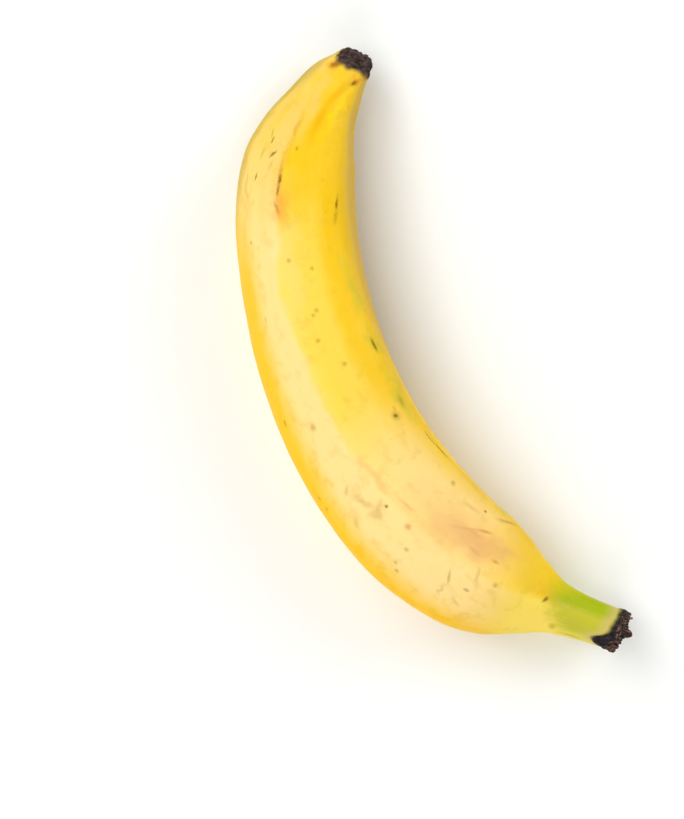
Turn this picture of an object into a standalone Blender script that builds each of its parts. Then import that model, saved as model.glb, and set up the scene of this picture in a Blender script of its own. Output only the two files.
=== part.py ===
"""One ripe plantain, picked and lying on its side, as a single closed solid.

The fruit is a bent, five-sided body. Its spine lies in one plane and runs from the dried flower
scab, at -X, to the cut end of the stalk, at +X. Sections stand square to the spine, and a sheet
of peel is wrapped round them. The finished body is then laid down on its three low points.
"""

import math

import bmesh
import bpy
from mathutils import Matrix, Vector, noise

MM = 0.001

# Driving dimensions
LENGTH = 270 * MM
HEIGHT_TO_WIDTH = 0.95
REST_TILT = math.radians(-8.2)
REST_PITCH = math.radians(-0.1)
FLAT_SPOT_DEPTH = 0.35 * MM

# The sections that the body is drawn through: distance from the flower scab in millimetres,
# heading of the spine in degrees, width across the bend in millimetres, depth of the flats
# between two ribs as a share of the half width, and turn of the ribs round the spine in degrees.
SECTIONS = (
    (0, -66, 11.0, 0.03, 2),
    (5, -62.5, 16.6, 0.05, 1),
    (13, -56.5, 22.8, 0.11, 0),
    (24, -52, 29.0, 0.14, 0),
    (34, -46, 36.4, 0.125, 0),
    (45, -37, 42.4, 0.10, 0),
    (62, -24, 45.0, 0.09, 0),
    (95, -13, 46.9, 0.085, 3),
    (150, 3.5, 50.2, 0.075, 17),
    (182, 17, 51.0, 0.07, 25),
    (211, 33, 47.4, 0.07, 28),
    (223, 38, 41.0, 0.085, 29),
    (235, 41, 29.0, 0.10, 30),
    (246, 43, 19.6, 0.11, 30),
    (257, 45, 17.0, 0.09, 30),
    (270, 45, 15.2, 0.04, 30),
)

# Ribs round the section, in degrees from straight up towards the inside of the bend, and how
# far each stands out as a share of the half width.
RIBS = ((-109, 0.0), (-34, 0.02), (36, 0.012), (107, 0.0), (179, 0.0))
RIB_SHARPNESS = 0.75

# A short crease rib beside the flower end: its angle, height as a share of the half width, half
# width in degrees, and how far from the scab it peaks and reaches.
CREASE_ANGLE = 11
CREASE_HEIGHT = 0.05
CREASE_HALF_WIDTH = 12
CREASE_PEAK = 18 * MM
CREASE_REACH = 17 * MM

# The two dried ends: length of the dry crust, doming of the face, lean of the face towards the
# outside of the bend, and tufts of the torn rim as degrees round, length, half width in degrees.
SCAB = {
    "crust_length": 4.6 * MM,
    "dome": 0.9 * MM,
    "lean": 0.3,
    "tufts": ((-45, 0.4 * MM, 18), (15, 0.5 * MM, 16), (80, 0.4 * MM, 20), (160, 0.9 * MM, 22)),
}
CUT = {
    "crust_length": 3.4 * MM,
    "dome": 1.5 * MM,
    "lean": 0.14,
    "tufts": ((-2, 3.2 * MM, 15), (60, 0.5 * MM, 16), (-60, 1.6 * MM, 20), (165, 1.5 * MM, 18)),
}
LEAN_FADE = 14 * MM
CRUST_FADE = 0.4
CRUST_DEPTH = 0.5 * MM
CRUST_GRAIN = 3.0 * MM
SWELL_DEPTH = 0.45 * MM
SWELL_LENGTH = 38 * MM

# Fineness of the mesh
SIDES = 60
BODY_SPACING = 3.7 * MM
END_SPACING = 1.1 * MM
SPACING_GROWTH = 0.25
FACE_RINGS = (0.0, 0.3, 0.55, 0.76, 0.9)
SPINE_STEP = 0.5 * MM
MERGE_DISTANCE = 0.001 * MM

PEEL_YELLOW = (0.93, 0.66, 0.07)
PEEL_ROUGHNESS = 0.45


def slopes(places, values):
    """The slope of a smooth curve at each section, held back so that it never overshoots."""
    rises = [(b - a) / (q - p) for a, b, p, q in zip(values, values[1:], places, places[1:])]
    found = [rises[0]]
    for before, after in zip(rises, rises[1:]):
        found.append(0.0 if before * after <= 0 else 2 * before * after / (before + after))
    return found + [rises[-1]]


def smooth_column(column):
    """One column of SECTIONS as a smooth function of the distance along the spine."""
    places = [row[0] * MM for row in SECTIONS]
    values = [row[column] for row in SECTIONS]
    tangents = slopes(places, values)

    def value(along):
        along = min(max(along, places[0]), places[-1])
        k = 0
        while k < len(places) - 2 and along > places[k + 1]:
            k += 1
        gap = places[k + 1] - places[k]
        t = (along - places[k]) / gap
        rise = values[k + 1] - values[k]
        bend = t * (1 - t) * gap
        return values[k] + rise * smooth(t) + bend * ((1 - t) * tangents[k] - t * tangents[k + 1])

    return value


def smooth(t):
    """An even step from 0 to 1 that starts and ends level."""
    t = min(max(t, 0), 1)
    return t * t * (3 - 2 * t)


heading_at = smooth_column(1)
width_at = smooth_column(2)
flat_depth_at = smooth_column(3)
rib_turn_at = smooth_column(4)


def trace_spine():
    """Points along the spine every SPINE_STEP, each found by walking on along the heading."""
    point = Vector((0, 0, 0))
    points = [point.copy()]
    for k in range(round(LENGTH / SPINE_STEP)):
        heading = math.radians(heading_at((k + 0.5) * SPINE_STEP))
        point += SPINE_STEP * Vector((math.cos(heading), math.sin(heading), 0))
        points.append(point.copy())
    return points


SPINE = trace_spine()


def spine_point(along):
    """The spine's point at a distance from the scab."""
    k = min(max(int(along / SPINE_STEP), 0), len(SPINE) - 2)
    return SPINE[k].lerp(SPINE[k + 1], along / SPINE_STEP - k)


def bell(distance, half_width):
    """1 at no distance, falling smoothly to nothing past the half width."""
    return math.exp(-((distance / half_width) ** 2))


def turn_between(angle, place):
    """The turn in degrees from a place round the section to an angle, between -180 and 180."""
    return (angle - place + 180) % 360 - 180


def rib_profile(along, angle):
    """How far the peel stands out at an angle in degrees, as a share of the half width."""
    turned = angle - rib_turn_at(along)
    ribs = sorted(((turned - place) % 360, lift) for place, lift in RIBS)
    past, lift_before = ribs[0]
    ahead, lift_after = ribs[-1][0] - 360, ribs[-1][1]
    between = past / (past - ahead)
    flat = math.sin(math.pi * between) ** (2 * RIB_SHARPNESS)
    crest = lift_before + (lift_after - lift_before) * smooth(between)
    crease = CREASE_HEIGHT * bell(along - CREASE_PEAK, CREASE_REACH)
    crease *= bell(turn_between(angle, CREASE_ANGLE), CREASE_HALF_WIDTH)
    return 1 + crest + crease - flat_depth_at(along) * flat


def dryness(from_end, end):
    """1 on the dried scab and the dried cut, 0 on live peel, with a short fade between."""
    return smooth(1 + CRUST_FADE - from_end / end["crust_length"])


def face_reach(end, angle, share):
    """How far a point of an end's face stands out past the end of the spine."""
    torn = sum(length * bell(turn_between(angle, place), w) for place, length, w in end["tufts"])
    return end["dome"] * (1 - share * share) + torn * share ** 3


def skin_point(along, angle, share):
    """A point of the surface. The share is 1 on the peel and falls to 0 at the middle of a face."""
    heading = math.radians(heading_at(along))
    forward = Vector((math.cos(heading), math.sin(heading), 0))
    inward = Vector((-math.sin(heading), math.cos(heading), 0))
    upward = Vector((0, 0, HEIGHT_TO_WIDTH))
    outward = inward * math.sin(math.radians(angle)) + upward * math.cos(math.radians(angle))
    radius = share * width_at(along) / 2 * MM * rib_profile(along, angle)

    at_cut = along > LENGTH / 2
    end = CUT if at_cut else SCAB
    away = forward if at_cut else -forward
    from_end = LENGTH - along if at_cut else along
    reach = end["lean"] * radius * math.sin(math.radians(angle)) * (1 - smooth(from_end / LEAN_FADE))
    if from_end <= 0:
        reach += face_reach(end, angle, share)

    point = spine_point(along) + away * reach + outward * radius
    swell = SWELL_DEPTH * noise.noise(point / SWELL_LENGTH)
    crust = CRUST_DEPTH * dryness(from_end, end) * noise.noise(point / CRUST_GRAIN)
    return point + outward * share * (swell + crust) + away * crust


def ring_places():
    """(distance along the spine, share of the full section) of each ring, from pole to pole."""
    places = [(0.0, share) for share in FACE_RINGS]
    along = 0.0
    while along < LENGTH - END_SPACING / 2:
        places.append((along, 1.0))
        from_end = min(along, LENGTH - along)
        along += min(max(from_end * SPACING_GROWTH, END_SPACING), BODY_SPACING)
    places.append((LENGTH, 1.0))
    places += [(LENGTH, share) for share in reversed(FACE_RINGS)]
    return places


def wrap_peel(mesh):
    """Wraps a flat grid round the spine, closes its seam and its two poles, and lays it down."""
    rings = ring_places()
    bm = bmesh.new()
    bmesh.ops.create_grid(bm, x_segments=SIDES, y_segments=len(rings) - 1, size=0.5)
    for vert in bm.verts:
        along, share = rings[round((vert.co.y + 0.5) * (len(rings) - 1))]
        side = round((vert.co.x + 0.5) * SIDES) % SIDES
        vert.co = skin_point(along, 360 * side / SIDES, share)
    bmesh.ops.remove_doubles(bm, verts=bm.verts, dist=MERGE_DISTANCE)
    bmesh.ops.recalc_face_normals(bm, faces=bm.faces)
    lie_down(bm)
    bm.to_mesh(mesh)
    bm.free()


def lie_down(bm):
    """Turns the fruit onto its low points, flattens them a little, and centres it over the origin."""
    turn = Matrix.Rotation(REST_TILT, 3, "X") @ Matrix.Rotation(REST_PITCH, 3, "Y")
    bmesh.ops.rotate(bm, verts=bm.verts, cent=(0, 0, 0), matrix=turn)
    low = [min(vert.co[axis] for vert in bm.verts) for axis in range(3)]
    high = [max(vert.co[axis] for vert in bm.verts) for axis in range(3)]
    floor = low[2] + FLAT_SPOT_DEPTH
    middle = Vector(((low[0] + high[0]) / 2, (low[1] + high[1]) / 2, floor))
    bmesh.ops.translate(bm, verts=bm.verts, vec=-middle)
    for vert in bm.verts:
        vert.co.z = max(vert.co.z, 0)


def plain_material(name, colour, roughness):
    """A Principled BSDF of one colour."""
    material = bpy.data.materials.new(name)
    material.use_nodes = True
    shader = material.node_tree.nodes["Principled BSDF"]
    shader.inputs["Base Color"].default_value = (*colour, 1)
    shader.inputs["Roughness"].default_value = roughness
    shader.inputs["Metallic"].default_value = 0
    material.diffuse_color = (*colour, 1)
    return material


def build_plantain():
    """The whole fruit as one object."""
    mesh = bpy.data.meshes.new("plantain")
    wrap_peel(mesh)
    mesh.materials.append(plain_material("peel", PEEL_YELLOW, PEEL_ROUGHNESS))
    mesh.shade_smooth()
    fruit = bpy.data.objects.new("plantain", mesh)
    bpy.context.scene.collection.objects.link(fruit)


def main():
    for old in list(bpy.data.objects):
        bpy.data.objects.remove(old, do_unlink=True)
    build_plantain()


main()
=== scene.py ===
"""The looks of one ripe plantain lying on its side, seen from above in soft studio light.

One fine skin follows the solid's own sections and carries everything that grew as one: ribs,
neck, dried flower scab and cut stalk. Small torn fibres and crumbs of scab stand on its two ends.
"""

import math
import random

import bmesh
import bpy
from mathutils import Color, Matrix, Vector, noise


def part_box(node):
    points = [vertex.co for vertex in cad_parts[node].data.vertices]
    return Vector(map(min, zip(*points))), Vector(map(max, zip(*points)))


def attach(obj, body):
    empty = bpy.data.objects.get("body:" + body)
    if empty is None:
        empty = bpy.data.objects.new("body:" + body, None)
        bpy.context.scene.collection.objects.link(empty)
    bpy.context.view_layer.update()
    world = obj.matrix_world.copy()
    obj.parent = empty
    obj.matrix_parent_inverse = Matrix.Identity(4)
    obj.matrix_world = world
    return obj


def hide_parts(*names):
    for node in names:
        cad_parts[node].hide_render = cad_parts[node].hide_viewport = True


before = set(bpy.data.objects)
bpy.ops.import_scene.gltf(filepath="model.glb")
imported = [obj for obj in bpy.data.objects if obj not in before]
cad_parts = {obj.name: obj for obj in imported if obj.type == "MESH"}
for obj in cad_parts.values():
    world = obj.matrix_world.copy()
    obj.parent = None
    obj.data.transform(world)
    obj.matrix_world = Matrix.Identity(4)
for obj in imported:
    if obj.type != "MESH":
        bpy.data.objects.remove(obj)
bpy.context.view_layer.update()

MM = 0.001

# The fruit's driving dimensions, the same as the solid's
LENGTH = 270 * MM
HEIGHT_TO_WIDTH = 0.95
REST_TILT = math.radians(-8.2)
REST_PITCH = math.radians(-0.1)
FLAT_SPOT_DEPTH = 0.35 * MM

# The sections that the body is drawn through: distance from the flower scab in millimetres,
# heading of the spine in degrees, width across the bend in millimetres, depth of the flats
# between two ribs as a share of the half width, and turn of the ribs round the spine in degrees.
SECTIONS = (
    (0, -66, 11.0, 0.03, 2),
    (5, -62.5, 16.6, 0.05, 1),
    (13, -56.5, 22.8, 0.11, 0),
    (24, -52, 29.0, 0.14, 0),
    (34, -46, 36.4, 0.125, 0),
    (45, -37, 42.4, 0.10, 0),
    (62, -24, 45.0, 0.09, 0),
    (95, -13, 46.9, 0.085, 3),
    (150, 3.5, 50.2, 0.075, 17),
    (182, 17, 51.0, 0.07, 25),
    (211, 33, 47.4, 0.07, 28),
    (223, 38, 41.0, 0.085, 29),
    (235, 41, 29.0, 0.10, 30),
    (246, 43, 19.6, 0.11, 30),
    (257, 45, 17.0, 0.09, 30),
    (270, 45, 15.2, 0.04, 30),
)
RIBS = ((-109, 0.0), (-34, 0.02), (36, 0.012), (107, 0.0), (179, 0.0))
RIB_SHARPNESS = 0.75
CREASE_ANGLE = 11
CREASE_HEIGHT = 0.05
CREASE_HALF_WIDTH = 12
CREASE_PEAK = 18 * MM
CREASE_REACH = 17 * MM

# The two dried ends: length of the dry crust, doming of the face, lean of the face towards the
# outside of the bend, and tufts of the torn rim as degrees round, length, half width in degrees.
# Then the dark skin: its mean length, tongues as degrees round, length and half width in degrees,
# how far its edge wanders and fades, the tan halo beyond it, the length that is torn, and where
# the rim is worn down as degrees round, depth and half width in degrees.
SCAB = {
    "crust_length": 4.6 * MM,
    "dome": 0.9 * MM,
    "lean": 0.3,
    "tufts": ((-45, 0.4 * MM, 18), (15, 0.5 * MM, 16), (80, 0.4 * MM, 20), (160, 0.9 * MM, 22)),
    "edge": 3.6 * MM,
    "tongues": (
        (-15, 3.9 * MM, 45), (8, 1.9 * MM, 26), (62, 3.4 * MM, 30), (-84, -5.4 * MM, 38),
        (150, 1.4 * MM, 30),
    ),
    "wander": 1.3 * MM,
    "fade": 2.5 * MM,
    "halo": 2.4 * MM,
    "torn": 0.8 * MM,
    "worn": (-80, 0.8 * MM, 70),
}
CUT = {
    "crust_length": 3.4 * MM,
    "dome": 1.5 * MM,
    "lean": 0.14,
    "tufts": ((-2, 3.2 * MM, 15), (60, 0.5 * MM, 16), (-60, 1.6 * MM, 20), (165, 1.5 * MM, 18)),
    "edge": 3.6 * MM,
    "tongues": ((-50, 6.3 * MM, 22), (0, 1.5 * MM, 35), (140, 2.4 * MM, 26)),
    "wander": 0.7 * MM,
    "fade": 2.0 * MM,
    "halo": 6.0 * MM,
    "torn": 2.4 * MM,
    "worn": (115, 0.7 * MM, 55),
}
LEAN_FADE = 14 * MM
CRUST_FADE = 0.4
CRUST_DEPTH = 0.5 * MM
CRUST_GRAIN = 3.0 * MM
SWELL_DEPTH = 0.45 * MM
SWELL_LENGTH = 38 * MM

# Fine relief of the skin
EDGE_GRAIN = 2.6 * MM
TORN_FADE = 1.2 * MM
SCAB_STEP = 0.28 * MM
LUMP_DEPTH = 0.7 * MM
LUMP_GRAIN = 1.7 * MM
PIT_DEPTH = 0.25 * MM
PIT_GRAIN = 0.6 * MM
WRINKLE_DEPTH = 0.16 * MM
WRINKLE_GRAIN = 2.3 * MM
WRINKLE_LENGTH = 26 * MM
WRINKLE_REACH = 34 * MM
DENT_DEPTH = 0.13 * MM
DENT_GRAIN = 9 * MM

# Torn shreds on the two ends, ring by ring: the shares of the section they stand between, how
# many, and their mean length and width. Then how dry their ground is, how unlike each other they
# are in lean and shape, how worn they are, and how deep their roots are sunk.
CUT_FIBRES = ((0.75, 0.97, 20, 1.3 * MM, 1.9 * MM), (0.1, 0.75, 16, 1.1 * MM, 1.7 * MM))
SCAB_CRUMBS = ((0.7, 0.95, 14, 0.6 * MM, 1.5 * MM), (0.1, 0.7, 12, 0.6 * MM, 1.5 * MM))
CUT_FIBRE_SEED = 7
SCAB_CRUMB_SEED = 11
SHRED_DRYNESS = 0.5
SHRED_SIDES = 6
SHRED_OUTWARD = (-0.3, 0.9)
SHRED_SIDEWAYS = (-0.5, 0.5)
SHRED_LENGTHS = (0.6, 1.4)
SHRED_WIDTHS = (0.7, 1.4)
SHRED_TAPER = (0.12, 0.3)
SHRED_FLATNESS = (0.45, 0.9)
SHRED_WEAR = 0.2 * MM
SHRED_GRAIN = 0.5 * MM
SHRED_SUNK = 0.4

# Fineness of the skin
SIDES = 240
BODY_SPACING = 0.92 * MM
END_SPACING = 0.3 * MM
SPACING_GROWTH = 0.035
FACE_RING_COUNT = 22
SPINE_STEP = 0.5 * MM
MERGE_DISTANCE = 0.001 * MM


def slopes(places, values):
    """The slope of a smooth curve at each section, held back so that it never overshoots."""
    rises = [(b - a) / (q - p) for a, b, p, q in zip(values, values[1:], places, places[1:])]
    found = [rises[0]]
    for before, after in zip(rises, rises[1:]):
        found.append(0.0 if before * after <= 0 else 2 * before * after / (before + after))
    return found + [rises[-1]]


def smooth(t):
    """An even step from 0 to 1 that starts and ends level."""
    t = min(max(t, 0), 1)
    return t * t * (3 - 2 * t)


def smooth_column(column):
    """One column of SECTIONS as a smooth function of the distance along the spine."""
    places = [row[0] * MM for row in SECTIONS]
    values = [row[column] for row in SECTIONS]
    tangents = slopes(places, values)

    def value(along):
        along = min(max(along, places[0]), places[-1])
        k = 0
        while k < len(places) - 2 and along > places[k + 1]:
            k += 1
        gap = places[k + 1] - places[k]
        t = (along - places[k]) / gap
        rise = values[k + 1] - values[k]
        bend = t * (1 - t) * gap
        return values[k] + rise * smooth(t) + bend * ((1 - t) * tangents[k] - t * tangents[k + 1])

    return value


heading_at = smooth_column(1)
width_at = smooth_column(2)
flat_depth_at = smooth_column(3)
rib_turn_at = smooth_column(4)


def trace_spine():
    """Points along the spine every SPINE_STEP, each found by walking on along the heading."""
    point = Vector((0, 0, 0))
    points = [point.copy()]
    for k in range(round(LENGTH / SPINE_STEP)):
        heading = math.radians(heading_at((k + 0.5) * SPINE_STEP))
        point += SPINE_STEP * Vector((math.cos(heading), math.sin(heading), 0))
        points.append(point.copy())
    return points


SPINE = trace_spine()


def spine_point(along):
    """The spine's point at a distance from the scab."""
    k = min(max(int(along / SPINE_STEP), 0), len(SPINE) - 2)
    return SPINE[k].lerp(SPINE[k + 1], along / SPINE_STEP - k)


def bell(distance, half_width):
    """1 at no distance, falling smoothly to nothing past the half width."""
    return math.exp(-((distance / half_width) ** 2))


def turn_between(angle, place):
    """The turn in degrees from a place round the section to an angle, between -180 and 180."""
    return (angle - place + 180) % 360 - 180


class Section:
    """One section of the fruit, square to the spine, and all that its points share."""

    def __init__(self, along):
        heading = math.radians(heading_at(along))
        self.along = along
        self.centre = spine_point(along)
        self.forward = Vector((math.cos(heading), math.sin(heading), 0))
        self.inward = Vector((-math.sin(heading), math.cos(heading), 0))
        self.half_width = width_at(along) / 2 * MM
        self.flat_depth = flat_depth_at(along)
        self.rib_turn = rib_turn_at(along)
        self.crease = CREASE_HEIGHT * bell(along - CREASE_PEAK, CREASE_REACH)
        at_cut = along > LENGTH / 2
        self.end = CUT if at_cut else SCAB
        self.away = self.forward if at_cut else -self.forward
        self.from_end = LENGTH - along if at_cut else along

    def rib_profile(self, angle):
        """How far the peel stands out at an angle in degrees, as a share of the half width."""
        turned = angle - self.rib_turn
        ribs = sorted(((turned - place) % 360, lift) for place, lift in RIBS)
        past, lift_before = ribs[0]
        ahead, lift_after = ribs[-1][0] - 360, ribs[-1][1]
        between = past / (past - ahead)
        flat = math.sin(math.pi * between) ** (2 * RIB_SHARPNESS)
        crest = lift_before + (lift_after - lift_before) * smooth(between)
        crease = self.crease * bell(turn_between(angle, CREASE_ANGLE), CREASE_HALF_WIDTH)
        return 1 + crest + crease - self.flat_depth * flat

    def straight_point(self, angle, share):
        """The point's place on the same fruit with its spine pulled straight."""
        turn = math.radians(angle)
        radius = share * self.half_width
        return Vector((self.along, radius * math.sin(turn), radius * math.cos(turn)))

    def dryness(self, angle, share, straight):
        """(dark dried skin, torn tissue, tan halo beside it), each from 0 to 1."""
        wander = noise.noise(straight / EDGE_GRAIN)
        reach = self.end["edge"] + self.end["wander"] * wander
        for place, length, half_width in self.end["tongues"]:
            reach += length * bell(turn_between(angle, place), half_width)
        inside = reach - self.from_end + (1 - share) * self.half_width
        crust = smooth(0.5 + inside / self.end["fade"])
        torn = smooth(0.5 + (self.end["torn"] * (1 + wander) - self.from_end) / TORN_FADE)
        halo = smooth(1 + inside / self.end["halo"]) * (1 - crust)
        return Vector((crust, torn, halo))

    def point(self, angle, share):
        """(place in space, place on the straightened fruit, dryness) of a point of the skin."""
        turn = math.radians(angle)
        upward = Vector((0, 0, HEIGHT_TO_WIDTH))
        outward = self.inward * math.sin(turn) + upward * math.cos(turn)
        radius = share * self.half_width * self.rib_profile(angle)
        end = self.end
        worn_at, worn_depth, worn_half_width = end["worn"]
        reach = end["lean"] * radius * math.sin(turn)
        reach -= worn_depth * share * bell(turn_between(angle, worn_at), worn_half_width)
        reach *= 1 - smooth(self.from_end / LEAN_FADE)
        if self.from_end <= 0:
            for place, length, half_width in end["tufts"]:
                reach += length * bell(turn_between(angle, place), half_width) * share ** 3
            reach += end["dome"] * (1 - share * share)
        point = self.centre + self.away * reach + outward * radius

        swell = SWELL_DEPTH * noise.noise(point / SWELL_LENGTH)
        old_crust = smooth(1 + CRUST_FADE - self.from_end / end["crust_length"])
        crust = CRUST_DEPTH * old_crust * noise.noise(point / CRUST_GRAIN)
        straight = self.straight_point(angle, share)
        dry = self.dryness(angle, share, straight)
        fine = self.fine_relief(straight, dry, point)
        point = point + outward * share * (swell + crust + fine) + self.away * crust
        if dry.y > 0:
            torn_out = LUMP_DEPTH * dry.y * noise.noise(point / LUMP_GRAIN)
            torn_out += PIT_DEPTH * dry.y * noise.noise(point / PIT_GRAIN)
            point += self.away * torn_out
        return point, straight, dry

    def fine_relief(self, straight, dry, point):
        """How far wrinkles, dents and dried lumps move a point of the peel outwards."""
        near_end = bell(self.from_end, WRINKLE_REACH)
        folded = Vector((straight.x / WRINKLE_LENGTH, *(straight.yz / WRINKLE_GRAIN)))
        wrinkle = WRINKLE_DEPTH * near_end * noise.noise(folded)
        dent = DENT_DEPTH * noise.noise(straight / DENT_GRAIN)
        if dry.x <= 0:
            return wrinkle + dent
        lumps = LUMP_DEPTH * noise.noise(point / LUMP_GRAIN)
        lumps += PIT_DEPTH * noise.noise(point / PIT_GRAIN)
        return wrinkle + dent + dry.x * (SCAB_STEP + lumps)


def ring_places():
    """(distance along the spine, share of the full section) of each ring, from pole to pole."""
    shares = [math.sin(math.pi / 2 * k / FACE_RING_COUNT) for k in range(FACE_RING_COUNT)]
    places = [(0.0, share) for share in shares]
    along = 0.0
    while along < LENGTH - END_SPACING / 2:
        places.append((along, 1.0))
        from_end = min(along, LENGTH - along)
        along += min(END_SPACING + from_end * SPACING_GROWTH, BODY_SPACING)
    places.append((LENGTH, 1.0))
    return places + [(LENGTH, share) for share in reversed(shares)]


def lay_down(bm):
    """Turns the fruit onto its low points and sets it where the solid lies."""
    turn = Matrix.Rotation(REST_TILT, 3, "X") @ Matrix.Rotation(REST_PITCH, 3, "Y")
    bmesh.ops.rotate(bm, verts=bm.verts, cent=(0, 0, 0), matrix=turn)
    low = [min(vert.co[axis] for vert in bm.verts) for axis in range(3)]
    high = [max(vert.co[axis] for vert in bm.verts) for axis in range(3)]
    solid_low, solid_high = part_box("plantain")
    shift = Vector((
        (solid_low.x + solid_high.x - low[0] - high[0]) / 2,
        (solid_low.y + solid_high.y - low[1] - high[1]) / 2,
        solid_low.z - low[2] - FLAT_SPOT_DEPTH,
    ))
    bmesh.ops.translate(bm, verts=bm.verts, vec=shift)
    for vert in bm.verts:
        vert.co.z = max(vert.co.z, solid_low.z)
    return turn, shift


def wrap_peel(mesh):
    """Wraps a flat grid round the spine, keeps each point's place on it, and lays it down."""
    rings = ring_places()
    sections = {along: Section(along) for along, share in rings}
    bm = bmesh.new()
    bmesh.ops.create_grid(bm, x_segments=SIDES, y_segments=len(rings) - 1, size=0.5)
    straight_layer = bm.verts.layers.float_vector.new("straight")
    dry_layer = bm.verts.layers.float_vector.new("dry")
    peel_map = bm.loops.layers.uv.new("peel_map")
    rib_map = bm.loops.layers.uv.new("rib_map")

    places = []
    for vert in bm.verts:
        along, share = rings[round((vert.co.y + 0.5) * (len(rings) - 1))]
        places.append((sections[along], 360 * (vert.co.x + 0.5) - 180, share))
    bm.verts.index_update()
    for face in bm.faces:
        for loop in face.loops:
            section, angle, share = places[loop.vert.index]
            loop[peel_map].uv = (section.along, math.radians(angle) * section.half_width)
            loop[rib_map].uv = ((angle - section.rib_turn) / 360, section.along / LENGTH)
    for vert, (section, angle, share) in zip(bm.verts, places):
        vert.co, vert[straight_layer], vert[dry_layer] = section.point(angle, share)
    bmesh.ops.remove_doubles(bm, verts=bm.verts, dist=MERGE_DISTANCE)
    bmesh.ops.recalc_face_normals(bm, faces=bm.faces)
    for face in bm.faces:
        face.smooth = True
    placing = lay_down(bm)
    bm.to_mesh(mesh)
    bm.free()
    return placing


def new_piece(name, mesh, material):
    """An object of the fruit that rides on its body and takes the material given."""
    mesh.materials.append(material)
    piece = bpy.data.objects.new(name, mesh)
    bpy.context.scene.collection.objects.link(piece)
    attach(piece, "root")
    return piece


def tear_up(name, material, placing, along, shreds, seed):
    """Stands torn shreds on one dried end, each a blunt, leaning cone with its root sunk in."""
    draw = random.Random(seed)
    noise.seed_set(seed)
    section = Section(along)
    bm = bmesh.new()
    for lowest_share, highest_share, count, length, width in shreds:
        for k in range(count):
            angle = 360 * (k + draw.random()) / count
            share = draw.uniform(lowest_share, highest_share)
            root, _, dry = section.point(angle, share)
            if dry.x < SHRED_DRYNESS:
                continue
            outward = (root - section.point(angle, 0)[0]).normalized()
            aim = section.away + outward * draw.uniform(*SHRED_OUTWARD)
            aim += section.forward.cross(outward) * draw.uniform(*SHRED_SIDEWAYS)
            shred_length = length * draw.uniform(*SHRED_LENGTHS)
            shred_width = width * draw.uniform(*SHRED_WIDTHS)
            shred = bmesh.ops.create_cone(
                bm, segments=SHRED_SIDES, cap_ends=True, radius1=shred_width / 2,
                radius2=shred_width * draw.uniform(*SHRED_TAPER), depth=shred_length)["verts"]
            bmesh.ops.scale(bm, verts=shred, vec=(1, draw.uniform(*SHRED_FLATNESS), 1))
            for vert in shred:
                vert.co += SHRED_WEAR * noise.noise_vector(vert.co / SHRED_GRAIN + root / MM)
            turn = aim.to_track_quat("Z", "Y").to_matrix()
            bmesh.ops.rotate(bm, verts=shred, cent=(0, 0, 0), matrix=turn)
            sunk = root + aim.normalized() * shred_length * (0.5 - SHRED_SUNK)
            bmesh.ops.translate(bm, verts=shred, vec=sunk)
    turn, shift = placing
    bmesh.ops.rotate(bm, verts=bm.verts, cent=(0, 0, 0), matrix=turn)
    bmesh.ops.translate(bm, verts=bm.verts, vec=shift)
    bmesh.ops.recalc_face_normals(bm, faces=bm.faces)
    mesh = bpy.data.meshes.new(name)
    bm.to_mesh(mesh)
    bm.free()
    new_piece(name, mesh, material)


# Colours, as they look on screen from 0 to 255

def colour(red, green, blue):
    """A colour as it looks on screen, as the linear values that Blender mixes."""
    seen = Color((red / 255, green / 255, blue / 255))
    return (*seen.from_srgb_to_scene_linear(), 1)


RIPE_YELLOW = colour(239, 192, 16)
LEMON = colour(245, 202, 44)
SOFT_LEMON = colour(250, 213, 84)
GOLDEN = colour(243, 193, 8)
RICH_YELLOW = colour(252, 210, 0)
# Painted warm bounced light and shade on the outermost edge
DEEP_GOLD_BOUNCE_SHADE = colour(246, 191, 0)
# Pale peel, which on the outer facet and the belly also stands for a painted sheen
PALE_PEEL_AND_SHEEN = colour(252, 217, 144)
PALE_LEMON = colour(255, 226, 96)
# Khaki for dull spots of the peel, and for the painted shade on the inner flank
KHAKI_SHADE_AND_DULL = colour(202, 160, 26)
# Painted shade on the outermost edge near the tip
OLIVE_EDGE_SHADE = colour(170, 150, 50)
SHADED_CREAM = colour(241, 203, 114)
BLUSH = colour(242, 190, 114)
BRUISE = colour(218, 158, 98)
STAIN = colour(246, 160, 40)
# Painted shade in the valley near the tip
VALLEY_SHADE = colour(234, 178, 0)
GREEN = colour(166, 180, 0)
YELLOW_GREEN = colour(194, 188, 52)
PALE_GREEN = colour(236, 222, 98)
BEIGE = colour(212, 183, 118)
SPECK_BROWN = colour(128, 90, 0)
SMEAR_OLIVE = colour(164, 132, 30)
RUST = colour(190, 112, 26)
SCAR = colour(118, 68, 8)
SCAB_DARK = colour(40, 32, 28)
SCAB_BROWN = colour(88, 70, 66)
SCAB_LIGHT = colour(122, 100, 96)
CUT_DARK = colour(24, 22, 28)
CUT_BROWN = colour(42, 36, 40)
TORN_BROWN = colour(86, 63, 50)
TORN_LIGHT = colour(158, 128, 106)

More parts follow.
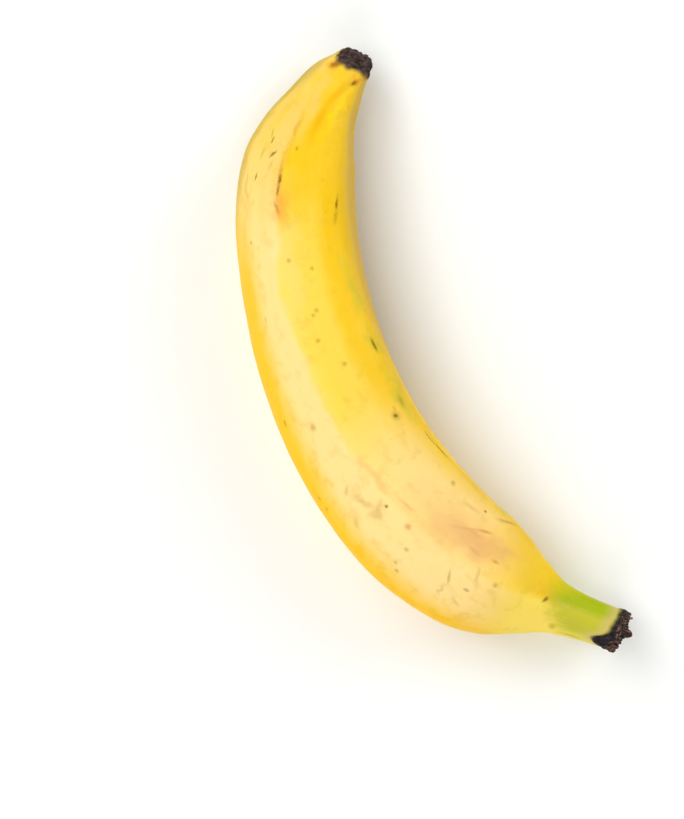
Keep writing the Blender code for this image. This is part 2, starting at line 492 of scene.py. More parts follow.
# Marks on the peel that the light side shows: kind, then the distance from the scab in
# millimetres and the angle round in degrees of both ends, and the width in millimetres.
MARKS = (
    ("stain", 6.2, -14, 9.8, -27, 2.6),
    ("scar", 6.2, -14, 9.6, -26, 2.2),
    ("scar", 8.4, -22, 9.6, -26, 2.0),
    ("rust", 12.0, 29, 10.0, 36, 1.8),
    ("scar", 12.1, 29, 11.2, 31, 1.1),
    ("stain", 8.6, 42, 7.6, 48, 1.6),
    ("smear", 39.4, -43.5, 41.4, -42, 0.7),
    ("speck", 41.8, -37.9, 43.2, -39, 0.6),
    ("speck", 46.2, -31, 47.6, -35, 0.8),
    ("faint", 46.2, -46.5, 47.7, -48.5, 1.3),
    ("faint", 49.8, -32.5, 51.6, -34.5, 1.1),
    ("speck", 53.0, -49.5, 54.4, -50.5, 0.8),
    ("shadow", 54.7, -66.5, 59.7, -63.5, 2.6),
    ("rust", 50.0, -22.5, 60.0, -24.5, 1.0),
    ("speck", 53.8, -22.5, 55.6, -23.2, 0.9),
    ("speck", 57.6, -23.9, 59.2, -24.5, 0.7),
    ("smear", 62.4, -26.5, 64.0, -25.5, 0.8),
    ("rust", 64.0, -24.5, 66.0, -23.5, 1.1),
    ("speck", 62.0, 32.5, 64.0, 31.7, 1.0),
    ("smear", 59.5, 33.5, 62.7, 32.5, 0.8),
    ("smear", 65.7, 31.5, 69.4, 29.5, 1.3),
    ("smear", 74.0, -58.5, 74.0, -58.5, 1.3),
    ("smear", 82.2, -18.5, 82.2, -18.5, 1.4),
    ("smear", 86.0, 1.5, 86.0, 1.5, 1.3),
    ("smear", 101.0, -2.5, 101.0, -2.5, 1.4),
    ("smear", 102.4, -6.5, 102.4, -6.5, 1.2),
    ("smear", 111.4, -8.5, 111.4, -8.5, 1.4),
    ("smear", 122.0, 7.5, 122.0, 7.5, 1.5),
    ("green", 115.7, 38.5, 122.7, 41.5, 3.6),
    ("speck", 116.8, 39.5, 120.6, 40.9, 1.2),
    ("smear", 141.6, 44, 144.2, 44, 1.8),
    ("smear", 147.0, 32, 147.0, 32, 3.0),
    ("speck", 147.0, 32, 147.0, 32, 1.5),
    ("smear", 138.0, -40, 138.0, -40, 2.2),
    ("speck", 158.2, 51, 164.4, 52.5, 0.4),
    ("speck", 164.2, 54, 173.2, 56.5, 0.5),
    ("smear", 182.2, 42, 182.2, 42, 1.8),
    ("faint", 160.3, -38, 161.8, -43, 1.3),
    ("rust", 159.0, -76, 159.0, -76, 1.2),
    ("rust", 163.0, -75, 163.0, -75, 1.2),
    ("shadow", 164.6, -38, 168.2, -31, 2.6),
    ("shadow", 169.5, -23, 171.5, -30, 2.8),
    ("speck", 172.5, -18, 172.5, -18, 1.1),
    ("streak", 174.0, -6, 178.5, -4, 1.1),
    ("faint", 170.2, -50, 171.6, -53, 1.6),
    ("rust", 182.2, -15, 182.2, -15, 2.0),
    ("smear", 188.3, -48, 188.3, -48, 1.3),
    ("smear", 190.4, -54, 190.4, -54, 1.4),
    ("smear", 187.5, -30, 187.5, -30, 1.4),
    ("streak", 192.8, 38, 197.2, 39, 1.5),
    ("speck", 200.8, 46, 200.8, 46, 1.1),
    ("streak", 195.0, 14, 203.4, 26, 1.2),
    ("rust", 203.6, 27, 207.0, 30, 1.0),
    ("streak", 203.0, 7, 207.5, 6, 1.2),
    ("streak", 199.0, 20, 204.0, 20, 1.2),
    ("rust", 213.4, 9, 214.8, 9.4, 1.0),
    ("smear", 208.5, 51, 214.5, 57, 1.3),
    ("smear", 202.6, -20, 204.4, -29, 0.8),
    ("shadow", 202.4, -36, 203.3, -42, 1.8),
    ("faint", 209.2, -42, 211.0, -45, 1.2),
    ("shadow", 210.0, -6, 211.5, -14, 1.8),
    ("smear", 218.2, -9, 218.2, -9, 1.4),
    ("speck", 238.4, 4.6, 237.6, -1, 1.2),
    ("smear", 245.2, -52, 245.2, -52, 2.2),
    ("smear", 249.0, -69, 256.5, -64, 0.7),
    ("stain", 59.2, -19.5, 67.2, -20.5, 5.0),
    ("blush", 157.0, -14, 171.0, -9, 2.6),
    ("blush", 188.0, 12, 214.0, 24, 15.0),
    ("bruise", 195.0, 9, 214.0, 22, 8.0),
    ("rich", 216.0, 38, 240.0, 46, 14.0),
    ("pale", 15.0, -20, 34.0, -21, 5.5),
    ("pale", 70.0, -20, 98.0, -20, 9.0),
    ("pale", 112.0, -36, 148.0, -32, 11.0),
    # Painted shade along the valley near the tip, and a painted highlight of rich yellow along the
    # ridge beside it
    ("valley shade", 14.0, 15, 25.0, 4, 2.5),
    ("valley shade", 25.0, 4, 36.0, 1, 2.8),
    ("rich", 13.0, 24, 36.0, 14, 2.2),
    ("golden", 30.0, -6, 62.0, -6, 9.0),
    ("golden", 50.0, 25, 132.0, 27, 6.0),
    ("green", 91.2, 34.5, 100.2, 35.5, 5.0),
    ("green", 137.0, 46, 148.0, 46, 5.0),
    ("green", 205.0, 68, 217.0, 68, 4.0),
    ("green", 24.0, -100, 31.0, -100, 3.0),
)

# How each kind of mark looks: colour, strength, softness of its rim, and whether its outline is
# frayed by fine noise or moved about by broad noise
MARK_LOOKS = {
    "golden": (GOLDEN, 0.65, 1.0, "broad"),
    "rich": (RICH_YELLOW, 0.8, 1.0, "broad"),
    "pale": (PALE_PEEL_AND_SHEEN, 0.35, 1.0, "broad"),
    "valley shade": (VALLEY_SHADE, 0.85, 1.0, "fine"),
    "green": (YELLOW_GREEN, 0.5, 1.0, "broad"),
    "blush": (BLUSH, 0.75, 1.0, "broad"),
    "bruise": (BRUISE, 0.45, 1.0, "broad"),
    "stain": (STAIN, 0.6, 1.0, "broad"),
    "shadow": (SMEAR_OLIVE, 0.35, 1.0, "broad"),
    "faint": (SMEAR_OLIVE, 0.32, 1.0, "fine"),
    "smear": (SMEAR_OLIVE, 0.55, 1.0, "fine"),
    "streak": (BRUISE, 0.5, 1.0, "fine"),
    "rust": (RUST, 0.55, 1.0, "fine"),
    "scar": (SCAR, 0.8, 0.8, "fine"),
    "speck": (SPECK_BROWN, 0.85, 0.7, "fine"),
}

# Bands of colour along the ribs: colour, strength, limits across the fruit and limits along it in
# metres from the scab. Four limits are where a band rises and falls, and two are the ends of one
# step. Across, the edges of the outside are in radians from the top, and all others in turns from
# the ribs' own turn.
BANDS = {
    "upper side": (SOFT_LEMON, 0.85, (-0.14, -0.08, 0.0, 0.06), (0.035, 0.08, 0.2, 0.24)),
    # The outer facet and the belly: paler peel with a painted sheen over it
    "outer facet pale and sheen": (PALE_PEEL_AND_SHEEN, 0.9, (-0.31, -0.24, -0.098, -0.079), None),
    "low neck": (PALE_LEMON, 0.8, (-0.06, -0.1), (0.216, 0.234)),
    "belly pale and sheen": (PALE_PEEL_AND_SHEEN, 0.8, (0.11, 0.03), (0.13, 0.17, 0.204, 0.23)),
    "shaded side": (SHADED_CREAM, 0.7, (-0.16, -0.12, -0.095, -0.082), (0.022, 0.036, 0.06, 0.08)),
    "rusty crest": (RUST, 0.42, (-0.098, -0.09, -0.084, -0.076), (0.026, 0.036, 0.06, 0.07)),
    # The outer edge: painted bounced light and shade. The olive edges: painted shade.
    "outer edge bounce shade": (DEEP_GOLD_BOUNCE_SHADE, 0.97, (-0.72, -1.36), (0.042, 0.09, 0.212, 0.24)),
    "olive edge shade": (OLIVE_EDGE_SHADE, 0.5, (-1.25, -1.6), (0.08, 0.05)),
    "tip edge shade": (OLIVE_EDGE_SHADE, 0.5, (-0.6, -1.1), (0.03, 0.012)),
    # The inner flank: painted shade
    "inner flank shade": (KHAKI_SHADE_AND_DULL, 0.75, (0.1, 0.17), (0.16, 0.11)),
}
BAND_CLOUDINESS = 0.05
BAND_MOTTLING = 0.025
OUTSIDE_MOTTLING = 0.3

# How far the outer rib's painted line strays from the even ribs, in turns, and where
RIB_STRAYS = (
    (-0.02, (0.018, 0.028, 0.04, 0.056)),
    (-0.02, (0.026, 0.036, 0.072, 0.095)),
    (0.012, (0.115, 0.135)),
)

# Where the outer facet turns pale, partly a painted sheen, and where it fades again, and how strong
# it is beyond that.
# Then the gaps in the rusty line on the crest.
FACET_PALES = (0.028, 0.075)
FACET_FADES = (0.196, 0.238)
FACET_AT_TIP = 0.13
FACET_AT_NECK = 0.4
CREST_GAPS = (0.4, 0.6)
CREST_IN_GAPS = 0.35

# The green neck: where it starts along the fruit, how far its start is frayed and how much later
# it comes past a turn to the outside. Then its greener side, its pale low side and its streaks.
GREEN_ALONG = (0.234, 0.246)
GREEN_FRAY = 0.008
GREEN_LATE_PAST = 0.07
GREEN_DELAY = 0.045
GREEN_INNER_SIDE = (-0.08, 0.0)
GREEN_LOW_SIDE = (-0.2, -0.27)
GREEN_LOW_PALENESS = 0.7
GREEN_STREAKS_FROM = (0.5, 0.8)
GREEN_STREAKS = 0.2

# Noises as scale, detail and roughness
CLOUDS = (50.0, 3.0, 0.55)
DEPTHS = (32.0, 2.0, 0.5)
MOTTLE = (190.0, 3.0, 0.6)
THREADS = (900.0, 2.0, 0.6)
PORES = (2400.0, 2.0, 0.5)
WEAR = (260.0, 3.0, 0.6)
DRY_LUMPS = (620.0, 3.0, 0.6)
DRY_GRAIN = (2100.0, 2.0, 0.6)
CLOUD_STRETCH = (0.4, 1, 1)
THREAD_STRETCH = (0.08, 1, 1)

# Where each noise starts and ends to show, and how strongly
LEMON_FROM = (0.35, 0.65)
GOLD_FROM = (0.5, 0.75)
GOLD_STRENGTH = 0.5
PALE_THREADS_FROM = (0.45, 0.85)
PALE_THREADS = 0.14
DULL_SPOTS_FROM = (0.5, 0.3)
DULL_SPOTS = 0.2
DRY_BROWN_FROM = (0.38, 0.66)
DRY_LIGHT_FROM = (0.5, 0.72)
DRY_LUMP_SHARE = 0.6

# Rims of the marks, as noise scale, detail and reach: frayed finely or moved about broadly
MARK_RIMS = {"fine": (1400.0, 2.0, 0.9 * MM), "broad": (130.0, 3.0, 14 * MM)}

# Freckles: how densely they lie, how drawn out they are, how many cells have one, their greatest
# size as a share of a cell, the softness of their rim, and how faint and strong they are
FRECKLE_SCALE = 150.0
FRECKLE_STRETCH = (0.6, 1, 1)
FRECKLE_DRAW = (0.72, 1.0)
FRECKLE_SIZE = 0.11
FRECKLE_RIM = 0.02
FRECKLE_STRENGTHS = (0.15, 0.8)

# The dried ends: where the scab's finish gives way to the cut's, the strength of the tan halo on
# each, and the lightness of tissue that is only dried and of tissue that is torn
CUT_SIDE = (0.4 * LENGTH, 0.6 * LENGTH)
HALO_STRENGTHS = (0.2, 0.75)
TORN_LIGHTNESS = (0.25, 0.8)
CUT_SHRED_LIGHTNESS = 0.8
SCAB_SHRED_LIGHTNESS = 0.3

# Finish: roughness of the wax, of marks beyond it, of dried tissue and of shreds, and the relief
WAX_ROUGHNESS = (0.34, 0.5)
MARK_DULLNESS = 0.2
DRY_ROUGHNESS = 0.82
SHRED_ROUGHNESS = (0.7, 0.95)
PEEL_BUMP = 0.4 * MM
SHRED_BUMP = 0.3 * MM
PORE_HEIGHT = 0.02
THREAD_HEIGHT = 0.05
FRECKLE_DEPTH = 0.05
PEEL_SPECULAR = 0.1
PEEL_SUBSURFACE = 0.12
SUBSURFACE_RADIUS = (1.0, 0.55, 0.12)
SUBSURFACE_SCALE = 3 * MM


class Nodes:
    """Adds nodes to one tree. Every value given may be a number, a colour or another socket."""

    def __init__(self, tree):
        self.tree = tree

    def add(self, kind, settings=None, values=None):
        """A node with its settings, and a value or a link for each input named in values."""
        node = self.tree.nodes.new(kind)
        for name, setting in (settings or {}).items():
            setattr(node, name, setting)
        for name, value in (values or {}).items():
            self.feed(node.inputs[name], value)
        return node

    def feed(self, socket, value):
        """Links a socket to another socket, or gives it a constant."""
        if isinstance(value, bpy.types.NodeSocket):
            self.tree.links.new(value, socket)
        else:
            socket.default_value = value

    def math(self, operation, first, second=0.0, third=0.0):
        """One sum with up to three numbers."""
        values = {0: first, 1: second, 2: third}
        return self.add("ShaderNodeMath", {"operation": operation}, values).outputs[0]

    def vectors(self, operation, first, second):
        """A node that works on two vectors."""
        return self.add("ShaderNodeVectorMath", {"operation": operation}, {0: first, 1: second})

    def step(self, value, low, high):
        """0 below one value and 1 above another, smooth between."""
        settings = {"interpolation_type": "SMOOTHSTEP", "clamp": False}
        values = {"Value": value, "From Min": low, "From Max": high}
        return self.add("ShaderNodeMapRange", settings, values).outputs[0]

    def band(self, value, limits):
        """1 between the middle two of four limits and 0 outside them, or a step between two."""
        rise = self.step(value, *limits[:2])
        if len(limits) == 2:
            return rise
        fall_from, fall_to = limits[2:]
        return self.math("MULTIPLY", rise, self.step(value, fall_to, fall_from))

    def spread(self, value, low, high):
        """A value from 0 to 1 spread evenly between two others."""
        return self.math("MULTIPLY_ADD", value, high - low, low)

    def mix(self, factor, first, second):
        """One colour laid over another by a mask."""
        values = {0: factor, 6: first, 7: second}
        return self.add("ShaderNodeMix", {"data_type": "RGBA"}, values).outputs[2]

    def stretch(self, vector, scale):
        """A place scaled by its own factor along each axis."""
        return self.add("ShaderNodeMapping", None, {"Vector": vector, "Scale": scale}).outputs[0]

    def noise(self, vector, scale, detail, roughness):
        """Cloudy noise round 0.5."""
        values = {"Vector": vector, "Scale": scale, "Detail": detail, "Roughness": roughness}
        return self.add("ShaderNodeTexNoise", None, values).outputs[0]

    def moved_about(self, place, vector, scale, detail, reach):
        """A place on a flat map, moved about by noise."""
        values = {"Vector": vector, "Scale": scale, "Detail": detail}
        wobble = self.add("ShaderNodeTexNoise", None, values).outputs["Color"]
        push = self.vectors("SUBTRACT", wobble, (0.5, 0.5, 0.5)).outputs[0]
        push = self.vectors("MULTIPLY", push, (reach, reach, 0)).outputs[0]
        return self.vectors("ADD", place, push).outputs[0]

    def cells(self, vector, scale):
        """(distance from the nearest of many scattered points, that point's own colour)."""
        values = {"Vector": vector, "Scale": scale, "Randomness": 1.0}
        cells = self.add("ShaderNodeTexVoronoi", None, values)
        return cells.outputs["Distance"], cells.outputs["Color"]

    def use(self, group, values):
        """A node group placed with its own values."""
        node = self.add("ShaderNodeGroup", {"node_tree": group}, values)
        return node.outputs


def new_group(name, inputs, outputs):
    """An empty node group with named inputs and outputs, its builder, and its two end nodes."""
    tree = bpy.data.node_groups.new(name, "ShaderNodeTree")
    for label, kind in inputs:
        tree.interface.new_socket(label, in_out="INPUT", socket_type="NodeSocket" + kind)
    for label, kind in outputs:
        tree.interface.new_socket(label, in_out="OUTPUT", socket_type="NodeSocket" + kind)
    nodes = Nodes(tree)
    given = nodes.add("NodeGroupInput").outputs
    result = nodes.add("NodeGroupOutput")
    return tree, nodes, given, result


def mark_group():
    """An oval mark on a flat map: its mask is 1 inside and fades to 0 at its rim."""
    inputs = (("Place", "Vector"), ("Centre", "Vector"), ("Along", "Vector"), ("Across", "Vector"),
              ("Softness", "Float"))
    tree, nodes, given, result = new_group("mark", inputs, (("Mask", "Float"),))
    place = nodes.vectors("SUBTRACT", given["Place"], given["Centre"]).outputs["Vector"]
    along = nodes.vectors("DOT_PRODUCT", place, given["Along"]).outputs["Value"]
    across = nodes.vectors("DOT_PRODUCT", place, given["Across"]).outputs["Value"]
    across = nodes.math("MULTIPLY", across, across)
    length = nodes.math("SQRT", nodes.math("MULTIPLY_ADD", along, along, across))
    inner = nodes.math("SUBTRACT", 1.0, given["Softness"])
    outer = nodes.math("ADD", 1.0, given["Softness"])
    nodes.feed(result.inputs["Mask"], nodes.step(length, outer, inner))
    return tree


def dry_tissue_group():
    """Dried and torn tissue: mottled from dark to light, with lumps and fine fibres."""
    inputs = (("Place", "Vector"), ("Dark", "Color"), ("Brown", "Color"), ("Light", "Color"),
              ("Torn", "Float"))
    outputs = (("Color", "Color"), ("Height", "Float"))
    tree, nodes, given, result = new_group("dry tissue", inputs, outputs)
    lumps = nodes.noise(given["Place"], *DRY_LUMPS)
    grain = nodes.noise(given["Place"], *DRY_GRAIN)
    brown = nodes.mix(nodes.step(lumps, *DRY_BROWN_FROM), given["Dark"], given["Brown"])
    bits = nodes.math("MULTIPLY", nodes.step(grain, *DRY_LIGHT_FROM), given["Torn"])
    nodes.feed(result.inputs["Color"], nodes.mix(bits, brown, given["Light"]))
    fine = nodes.math("MULTIPLY", grain, 1 - DRY_LUMP_SHARE)
    nodes.feed(result.inputs["Height"], nodes.math("MULTIPLY_ADD", lumps, DRY_LUMP_SHARE, fine))
    return tree


def new_material(name):
    """A material with its Principled BSDF, and the builder of its nodes."""
    material = bpy.data.materials.new(name)
    material.use_nodes = True
    shader = material.node_tree.nodes["Principled BSDF"]
    return material, shader, Nodes(material.node_tree)


def peel_marks(nodes, mark, places, surface):
    """Lays the marks of the table over the peel's colour, and gives the mask of each kind."""
    masks = {}
    for kind, along, angle, end_along, end_angle, width in MARKS:
        radius = width_at((along + end_along) / 2 * MM) / 2 * MM
        start = Vector((along * MM, math.radians(angle) * radius, 0))
        end = Vector((end_along * MM, math.radians(end_angle) * radius, 0))
        run = end - start
        direction = run.normalized() if run.length > 0 else Vector((1, 0, 0))
        _, _, softness, place = MARK_LOOKS[kind]
        mask = nodes.use(mark, {
            "Place": places[place],
            "Centre": (start + end) / 2,
            "Along": direction / ((run.length + width * MM) / 2),
            "Across": Vector((-direction.y, direction.x, 0)) / (width * MM / 2),
            "Softness": softness,
        })["Mask"]
        masks[kind] = nodes.math("MAXIMUM", masks[kind], mask) if kind in masks else mask
    for kind, (tint, strength, _, _) in MARK_LOOKS.items():
        surface = nodes.mix(nodes.math("MULTIPLY", masks[kind], strength), surface, tint)
    return surface, masks


def rib_bands(nodes, surface, along, around, turn, clouds, mottle):
    """Paler and deeper bands that follow the ribs, their edges moved about by the clouds. Some are
    painted light: a sheen over the pale of the outer facet and belly, and shade on the edges, the
    inner flank and the shaded side.
    """
    def lay(surface, name, across, *masks):
        """One band of the table laid over the surface, held back by the masks."""
        tint, strength, across_limits, along_limits = BANDS[name]
        strength = nodes.math("MULTIPLY", strength, nodes.band(across, across_limits))
        if along_limits:
            strength = nodes.math("MULTIPLY", strength, nodes.band(along, along_limits))
        for mask in masks:
            strength = nodes.math("MULTIPLY", strength, mask)
        return nodes.mix(strength, surface, tint)

    mottling = nodes.math("SUBTRACT", mottle, 0.5)
    cloudiness = nodes.math("SUBTRACT", clouds, 0.5)
    shifted = nodes.math("MULTIPLY_ADD", cloudiness, BAND_CLOUDINESS, turn)
    shifted = nodes.math("MULTIPLY_ADD", mottling, BAND_MOTTLING, shifted)
    outside = nodes.math("MULTIPLY_ADD", mottling, OUTSIDE_MOTTLING, around)
    rib = shifted
    for stray, limits in RIB_STRAYS:
        rib = nodes.math("MULTIPLY_ADD", nodes.band(along, limits), stray, rib)

    # Soft lemon on top, and pale peel on the outer facet, past the middle of the top, and below
    # the shoulder of the neck. The pale of the outer facet and of the belly past the middle of the
    # top is partly the peel's own colour and partly a painted sheen of the lights
    surface = lay(surface, "upper side", shifted)
    surface = lay(surface, "outer facet pale and sheen", rib,
                  nodes.spread(nodes.step(along, *FACET_PALES), FACET_AT_TIP, 1.0),
                  nodes.spread(nodes.step(along, *FACET_FADES), 1.0, FACET_AT_NECK))
    surface = lay(surface, "low neck", shifted)
    surface = lay(surface, "belly pale and sheen", shifted)

    # Near the tip's shoulder the outer rib has a shaded side and a rusty line on its crest
    surface = lay(surface, "shaded side", rib)
    surface = lay(surface, "rusty crest", rib,
                  nodes.spread(nodes.step(mottle, *CREST_GAPS), CREST_IN_GAPS, 1.0))

    # The outermost edge turns to deep gold away from the tip, painted bounced light and shade, and
    # to olive beside it, painted shade
    for name in ("outer edge bounce shade", "olive edge shade", "tip edge shade"):
        surface = lay(surface, name, outside)

    # The inner flank is darkened by painted shade, as far as the middle of the fruit
    return lay(surface, "inner flank shade", shifted)


def green_neck(nodes, surface, along, turn, threads):
    """Green peel up to the cut, strong on the inside of the bend and later on its outside."""
    inner = nodes.step(turn, *GREEN_INNER_SIDE)
    late = nodes.math("MINIMUM", nodes.math("ADD", turn, GREEN_LATE_PAST), 0.0)
    reach = nodes.math("MULTIPLY_ADD", late, GREEN_DELAY, along)
    frayed = nodes.math("SUBTRACT", threads, 0.5)
    neck = nodes.step(nodes.math("MULTIPLY_ADD", frayed, GREEN_FRAY, reach), *GREEN_ALONG)
    green = nodes.mix(inner, YELLOW_GREEN, GREEN)
    low_side = nodes.math("MULTIPLY", nodes.step(turn, *GREEN_LOW_SIDE), GREEN_LOW_PALENESS)
    green = nodes.mix(low_side, green, PALE_GREEN)
    streaks = nodes.math("MULTIPLY", nodes.step(threads, *GREEN_STREAKS_FROM), GREEN_STREAKS)
    green = nodes.mix(streaks, green, PALE_GREEN)
    return nodes.mix(neck, surface, green)


def yellow_peel(nodes, straight, along, around, turn, threads):
    """The colour of the unmarked peel: cloudy yellow, with bands of colour and of painted sheen and
    shade, dull spots and a green neck.
    """
    drawn_out = nodes.stretch(straight, CLOUD_STRETCH)
    clouds = nodes.noise(drawn_out, *CLOUDS)
    mottle = nodes.noise(straight, *MOTTLE)
    surface = nodes.mix(nodes.step(clouds, *LEMON_FROM), RIPE_YELLOW, LEMON)
    depths = nodes.step(nodes.noise(drawn_out, *DEPTHS), *GOLD_FROM)
    surface = nodes.mix(nodes.math("MULTIPLY", depths, GOLD_STRENGTH), surface, GOLDEN)
    pale = nodes.math("MULTIPLY", nodes.step(threads, *PALE_THREADS_FROM), PALE_THREADS)
    surface = nodes.mix(pale, surface, PALE_PEEL_AND_SHEEN)
    surface = rib_bands(nodes, surface, along, around, turn, clouds, mottle)
    dull = nodes.math("MULTIPLY", nodes.step(mottle, *DULL_SPOTS_FROM), DULL_SPOTS)
    surface = nodes.mix(dull, surface, KHAKI_SHADE_AND_DULL)
    return green_neck(nodes, surface, along, turn, threads)


def scattered_freckles(nodes, straight):
    """A mask of freckles over the whole peel, most of them faint."""
    cells, draw = nodes.cells(nodes.stretch(straight, FRECKLE_STRETCH), FRECKLE_SCALE)
    size, strength, _ = nodes.add("ShaderNodeSeparateColor", None, {0: draw}).outputs
    radius = nodes.math("MULTIPLY", nodes.step(size, *FRECKLE_DRAW), FRECKLE_SIZE)
    inside = nodes.step(nodes.math("SUBTRACT", cells, radius), FRECKLE_RIM, -FRECKLE_RIM)
    return nodes.math("MULTIPLY", inside, nodes.spread(strength, *FRECKLE_STRENGTHS))


def dried_ends(nodes, dry_tissue, surface, straight, along, dryness):
    """Lays the tan halos and the two dried ends over the peel's colour, and gives their relief."""
    crust, torn, halo = dryness
    at_cut = nodes.step(along, *CUT_SIDE)
    halo = nodes.math("MULTIPLY", halo, nodes.spread(at_cut, *HALO_STRENGTHS))
    surface = nodes.mix(halo, surface, BEIGE)
    dried = nodes.use(dry_tissue, {
        "Place": straight,
        "Dark": nodes.mix(at_cut, SCAB_DARK, CUT_DARK),
        "Brown": nodes.mix(at_cut, SCAB_BROWN, nodes.mix(torn, CUT_BROWN, TORN_BROWN)),
        "Light": nodes.mix(at_cut, SCAB_LIGHT, TORN_LIGHT),
        "Torn": nodes.spread(torn, *TORN_LIGHTNESS),
    })
    relief = nodes.math("MULTIPLY", dried["Height"], crust)
    return nodes.mix(crust, surface, dried["Color"]), relief


def peel_material(mark, dry_tissue):
    """Waxy ripe peel: cloudy yellow with a painted sheen, flanks tanned by painted shade, a green
    neck, freckles and two dried ends.
    """
    material, shader, nodes = new_material("peel")
    straight = nodes.add("ShaderNodeAttribute", {"attribute_name": "straight"}).outputs["Vector"]
    dry = nodes.add("ShaderNodeAttribute", {"attribute_name": "dry"}).outputs["Vector"]
    dryness = nodes.add("ShaderNodeSeparateXYZ", None, {0: dry}).outputs
    crust = dryness[0]
    peel_map = nodes.add("ShaderNodeUVMap", {"uv_map": "peel_map"}).outputs[0]
    rib_map = nodes.add("ShaderNodeUVMap", {"uv_map": "rib_map"}).outputs[0]
    along, across, up = nodes.add("ShaderNodeSeparateXYZ", None, {0: straight}).outputs
    around = nodes.math("ARCTAN2", across, up)
    turn = nodes.add("ShaderNodeSeparateXYZ", None, {0: rib_map}).outputs[0]

    threads = nodes.noise(nodes.stretch(straight, THREAD_STRETCH), *THREADS)
    surface = yellow_peel(nodes, straight, along, around, turn, threads)
    places = {
        label: nodes.moved_about(peel_map, straight, *rim) for label, rim in MARK_RIMS.items()
    }
    surface, masks = peel_marks(nodes, mark, places, surface)
    freckles = scattered_freckles(nodes, straight)
    surface = nodes.mix(freckles, surface, SPECK_BROWN)
    surface, dead = dried_ends(nodes, dry_tissue, surface, straight, along, dryness)
    nodes.feed(shader.inputs["Base Color"], surface)

    # Wax, worn dull where the peel is marked or dried
    gloss = nodes.spread(nodes.noise(straight, *WEAR), *WAX_ROUGHNESS)
    dull = nodes.math("MAXIMUM", masks["speck"], masks["rust"])
    dull = nodes.math("MAXIMUM", masks["smear"], dull)
    gloss = nodes.math("MULTIPLY_ADD", dull, MARK_DULLNESS, gloss)
    finish = {0: crust, 2: gloss, 3: DRY_ROUGHNESS}
    rough = nodes.add("ShaderNodeMix", {"data_type": "FLOAT"}, finish).outputs[0]
    nodes.feed(shader.inputs["Roughness"], rough)

    # Fine relief: pores, lengthwise threads, sunken freckles and dried lumps
    live = nodes.math("MULTIPLY", nodes.noise(straight, *PORES), PORE_HEIGHT)
    live = nodes.math("MULTIPLY_ADD", threads, THREAD_HEIGHT, live)
    live = nodes.math("MULTIPLY_ADD", freckles, -FRECKLE_DEPTH, live)
    height = nodes.math("ADD", live, dead)
    bump = nodes.add("ShaderNodeBump", None, {"Distance": PEEL_BUMP, "Height": height})
    nodes.feed(shader.inputs["Normal"], bump.outputs[0])

    shader.inputs["Specular IOR Level"].default_value = PEEL_SPECULAR
    shader.inputs["Subsurface Weight"].default_value = PEEL_SUBSURFACE
    shader.inputs["Subsurface Radius"].default_value = SUBSURFACE_RADIUS
    shader.inputs["Subsurface Scale"].default_value = SUBSURFACE_SCALE
    return material


def shred_material(name, dry_tissue, colours, lightness):
    """Torn fibres of the cut or crumbs of the scab."""
    material, shader, nodes = new_material(name)
    dark, brown, light = colours
    dried = nodes.use(dry_tissue, {
        "Place": nodes.add("ShaderNodeTexCoord").outputs["Object"],
        "Dark": dark,
        "Brown": brown,
        "Light": light,
        "Torn": lightness,
    })
    nodes.feed(shader.inputs["Base Color"], dried["Color"])
    nodes.feed(shader.inputs["Roughness"], nodes.spread(dried["Height"], *SHRED_ROUGHNESS))
    bump = nodes.add("ShaderNodeBump", None, {"Distance": SHRED_BUMP, "Height": dried["Height"]})
    nodes.feed(shader.inputs["Normal"], bump.outputs[0])
    return material


def build_fruit():
    """The fine skin in place of the plain solid, and the shreds on its two ends."""
    mark = mark_group()
    dry_tissue = dry_tissue_group()
    mesh = bpy.data.meshes.new("plantain_skin")
    placing = wrap_peel(mesh)
    skin = new_piece("plantain_skin", mesh, peel_material(mark, dry_tissue))
    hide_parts("plantain")

    cut_colours = (CUT_DARK, TORN_BROWN, TORN_LIGHT)
    fibres = shred_material("cut fibres", dry_tissue, cut_colours, CUT_SHRED_LIGHTNESS)
    tear_up("cut_fibres", fibres, placing, LENGTH, CUT_FIBRES, CUT_FIBRE_SEED)
    scab_colours = (SCAB_DARK, SCAB_BROWN, SCAB_LIGHT)
    crumbs = shred_material("scab crumbs", dry_tissue, scab_colours, SCAB_SHRED_LIGHTNESS)
    tear_up("scab_crumbs", crumbs, placing, 0.0, SCAB_CRUMBS, SCAB_CRUMB_SEED)


# Studio

# The camera: the point of the floor under it, the turn of the image's top from +X, the scale, the
# lens, and the height above the floor at which the scale holds
CAMERA_OVER = Vector((-1.2, -19.9, 0)) * MM
IMAGE_UP = math.radians(155.04)
PIXEL_SIZE = 0.36 * MM
PHOTO_HEIGHT = 819
LENS = 120
SENSOR = 36
FOCUS_HEIGHT = 23 * MM

# Four large soft lights: name, turn in degrees from the image's top towards its right, degrees
# above the floor, and power in watts. Most of the light comes from the image's left.
LIGHTS = (
    ("left", -90, 65, 36),
    ("top_left", -45, 38, 42),
    ("bottom", -165, 33, 38),
    ("right", 60, 30, 44),
)
LIGHT_DISTANCE = 3.0
LIGHT_SIZE = 2.1
LIGHT_TINT = (0.985, 1, 0.98)
SURROUND = 0.21
SURROUND_COLOUR = (1, 0.995, 0.98, 1)
FLOOR_SIZE = 6.0
FLOOR_COLOUR = (0.93, 0.93, 0.925, 1)
FLOOR_ROUGHNESS = 0.7


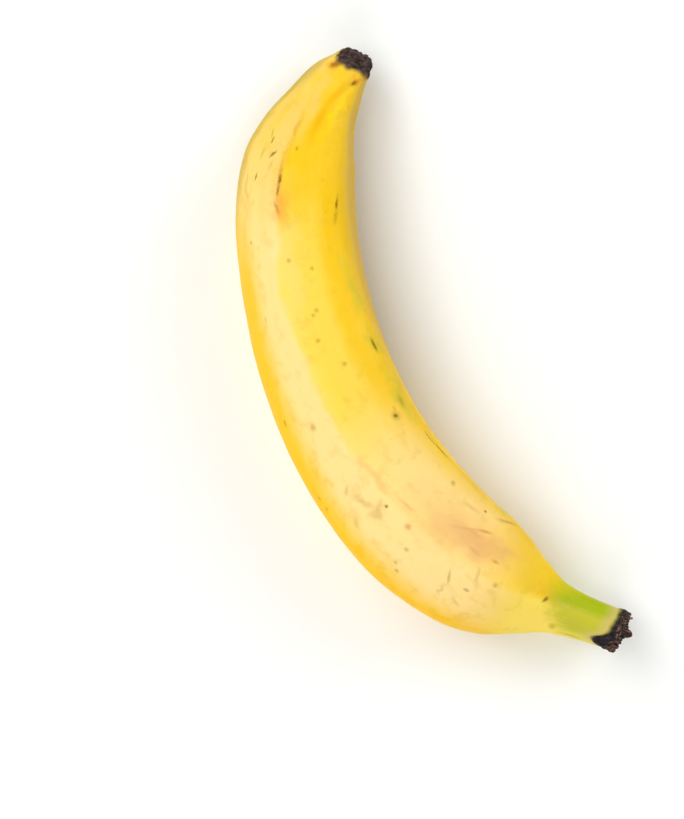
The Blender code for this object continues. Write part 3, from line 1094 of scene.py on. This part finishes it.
def set_camera():
    """Looks straight down, at the scale and turn of the photograph."""
    data = bpy.data.cameras.new("camera")
    data.lens = LENS
    data.sensor_width = SENSOR
    camera = bpy.data.objects.new("camera", data)
    bpy.context.scene.collection.objects.link(camera)
    distance = PHOTO_HEIGHT * PIXEL_SIZE * LENS / SENSOR
    camera.location = CAMERA_OVER + Vector((0, 0, FOCUS_HEIGHT + distance))
    camera.rotation_euler = (0, 0, IMAGE_UP - math.radians(90))
    bpy.context.scene.camera = camera


def light_from(name, image_turn, rise, power):
    """A soft square light. The turn is in degrees from the image's top towards its right."""
    data = bpy.data.lights.new(name, "AREA")
    data.shape = "SQUARE"
    data.size = LIGHT_SIZE
    data.energy = power
    data.color = LIGHT_TINT
    light = bpy.data.objects.new(name, data)
    bpy.context.scene.collection.objects.link(light)
    turn = IMAGE_UP - math.radians(image_turn)
    rise = math.radians(rise)
    aim = Vector((math.cos(turn) * math.cos(rise), math.sin(turn) * math.cos(rise), math.sin(rise)))
    light.location = Vector((0, 0, FOCUS_HEIGHT)) + aim * LIGHT_DISTANCE
    light.rotation_euler = aim.to_track_quat("Z", "Y").to_euler()


def build_studio():
    """A pale floor, an even pale surround and four large soft lights round the fruit."""
    scene = bpy.context.scene
    bm = bmesh.new()
    bmesh.ops.create_grid(bm, x_segments=1, y_segments=1, size=FLOOR_SIZE / 2)
    mesh = bpy.data.meshes.new("floor")
    bm.to_mesh(mesh)
    bm.free()
    material, shader, _ = new_material("floor")
    shader.inputs["Base Color"].default_value = FLOOR_COLOUR
    shader.inputs["Roughness"].default_value = FLOOR_ROUGHNESS
    mesh.materials.append(material)
    floor = bpy.data.objects.new("floor", mesh)
    scene.collection.objects.link(floor)

    for name, image_turn, rise, power in LIGHTS:
        light_from(name, image_turn, rise, power)

    world = bpy.data.worlds.new("surround")
    world.use_nodes = True
    backdrop = world.node_tree.nodes["Background"]
    backdrop.inputs["Color"].default_value = SURROUND_COLOUR
    backdrop.inputs["Strength"].default_value = SURROUND
    scene.world = world
    scene.view_settings.view_transform = "Standard"
    set_camera()


build_fruit()
build_studio()
